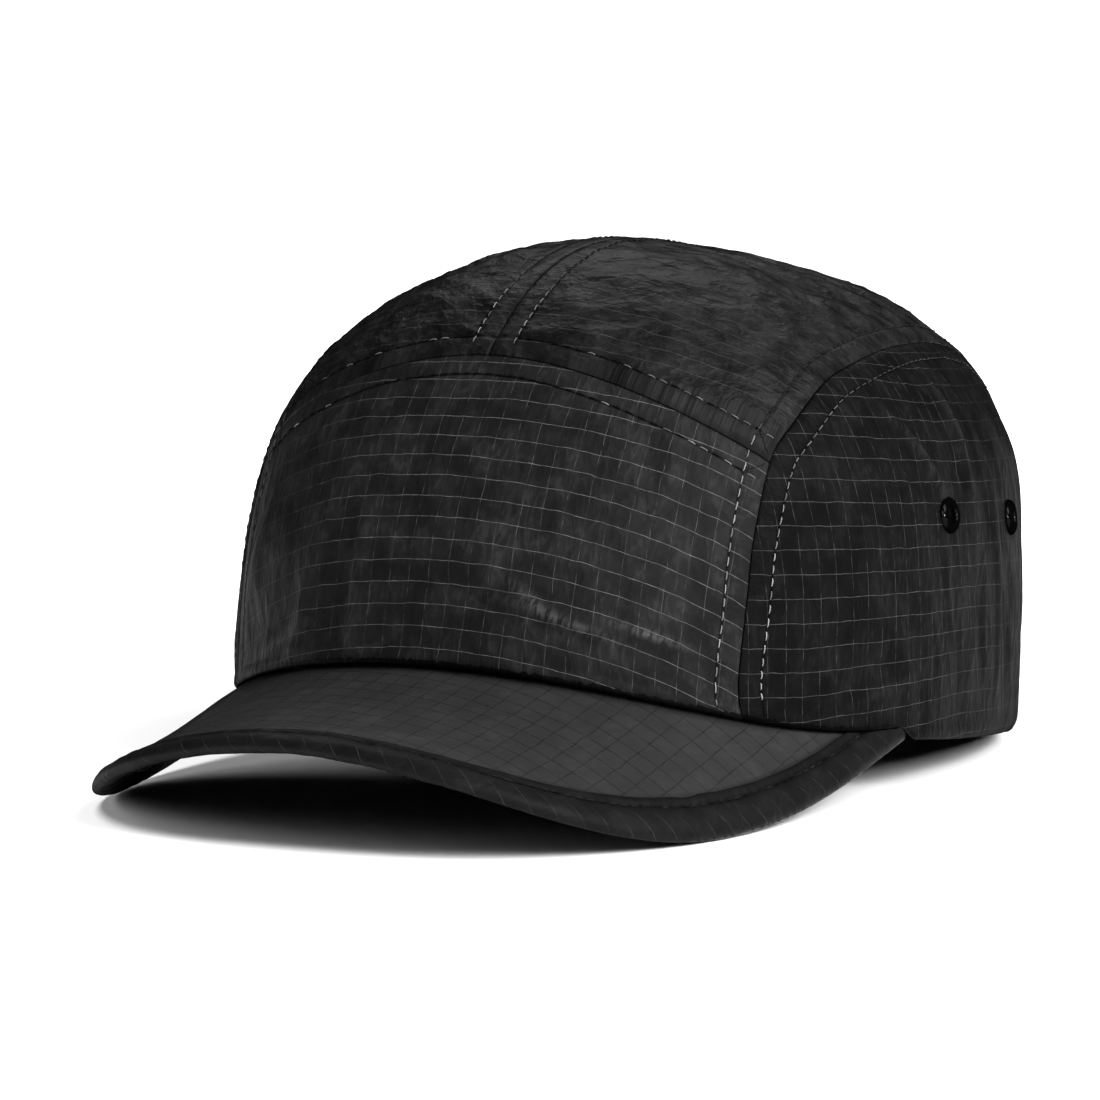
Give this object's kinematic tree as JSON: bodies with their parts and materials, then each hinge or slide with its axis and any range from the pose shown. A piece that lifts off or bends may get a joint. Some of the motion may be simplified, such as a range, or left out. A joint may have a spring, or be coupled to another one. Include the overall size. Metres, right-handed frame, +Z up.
{
  "type": "running cap",
  "caption": "Running cap with a panelled crown of thin ripstop cloth, pressed eyelets, a curved bound peak and a strap across the back opening.",
  "frame": {"origin": "centre of the cap's outline seen from above, on the table that it lies on", "axes": "+Z up, the peak points to -Y, +X is the wearer's left"},
  "size_m": [0.1664, 0.2634, 0.1175],
  "materials": {
    "ripstop_cloth": "thin ripstop nylon, black, with a slight sheen",
    "peak_cloth": "the same ripstop nylon stretched over a stiff peak, charcoal",
    "binding_tape": "cloth strip folded round the rim of the peak",
    "eyelet_enamel": "gloss black enamel",
    "strap_webbing": "flat woven webbing, black",
    "slide_plastic": "moulded plastic, black"
  },
  "bodies": {
    "root": {"front_panel": "ripstop_cloth", "side_panel_left": "ripstop_cloth", "side_panel_right": "ripstop_cloth", "top_panel_left": "ripstop_cloth", "top_panel_right": "ripstop_cloth", "peak": "peak_cloth", "peak_binding": "binding_tape", "eyelet_left_front": "eyelet_enamel", "eyelet_left_back": "eyelet_enamel", "eyelet_right_front": "eyelet_enamel", "eyelet_right_back": "eyelet_enamel", "back_strap": "strap_webbing", "strap_slide": "slide_plastic"}
  },
  "joints": []
}
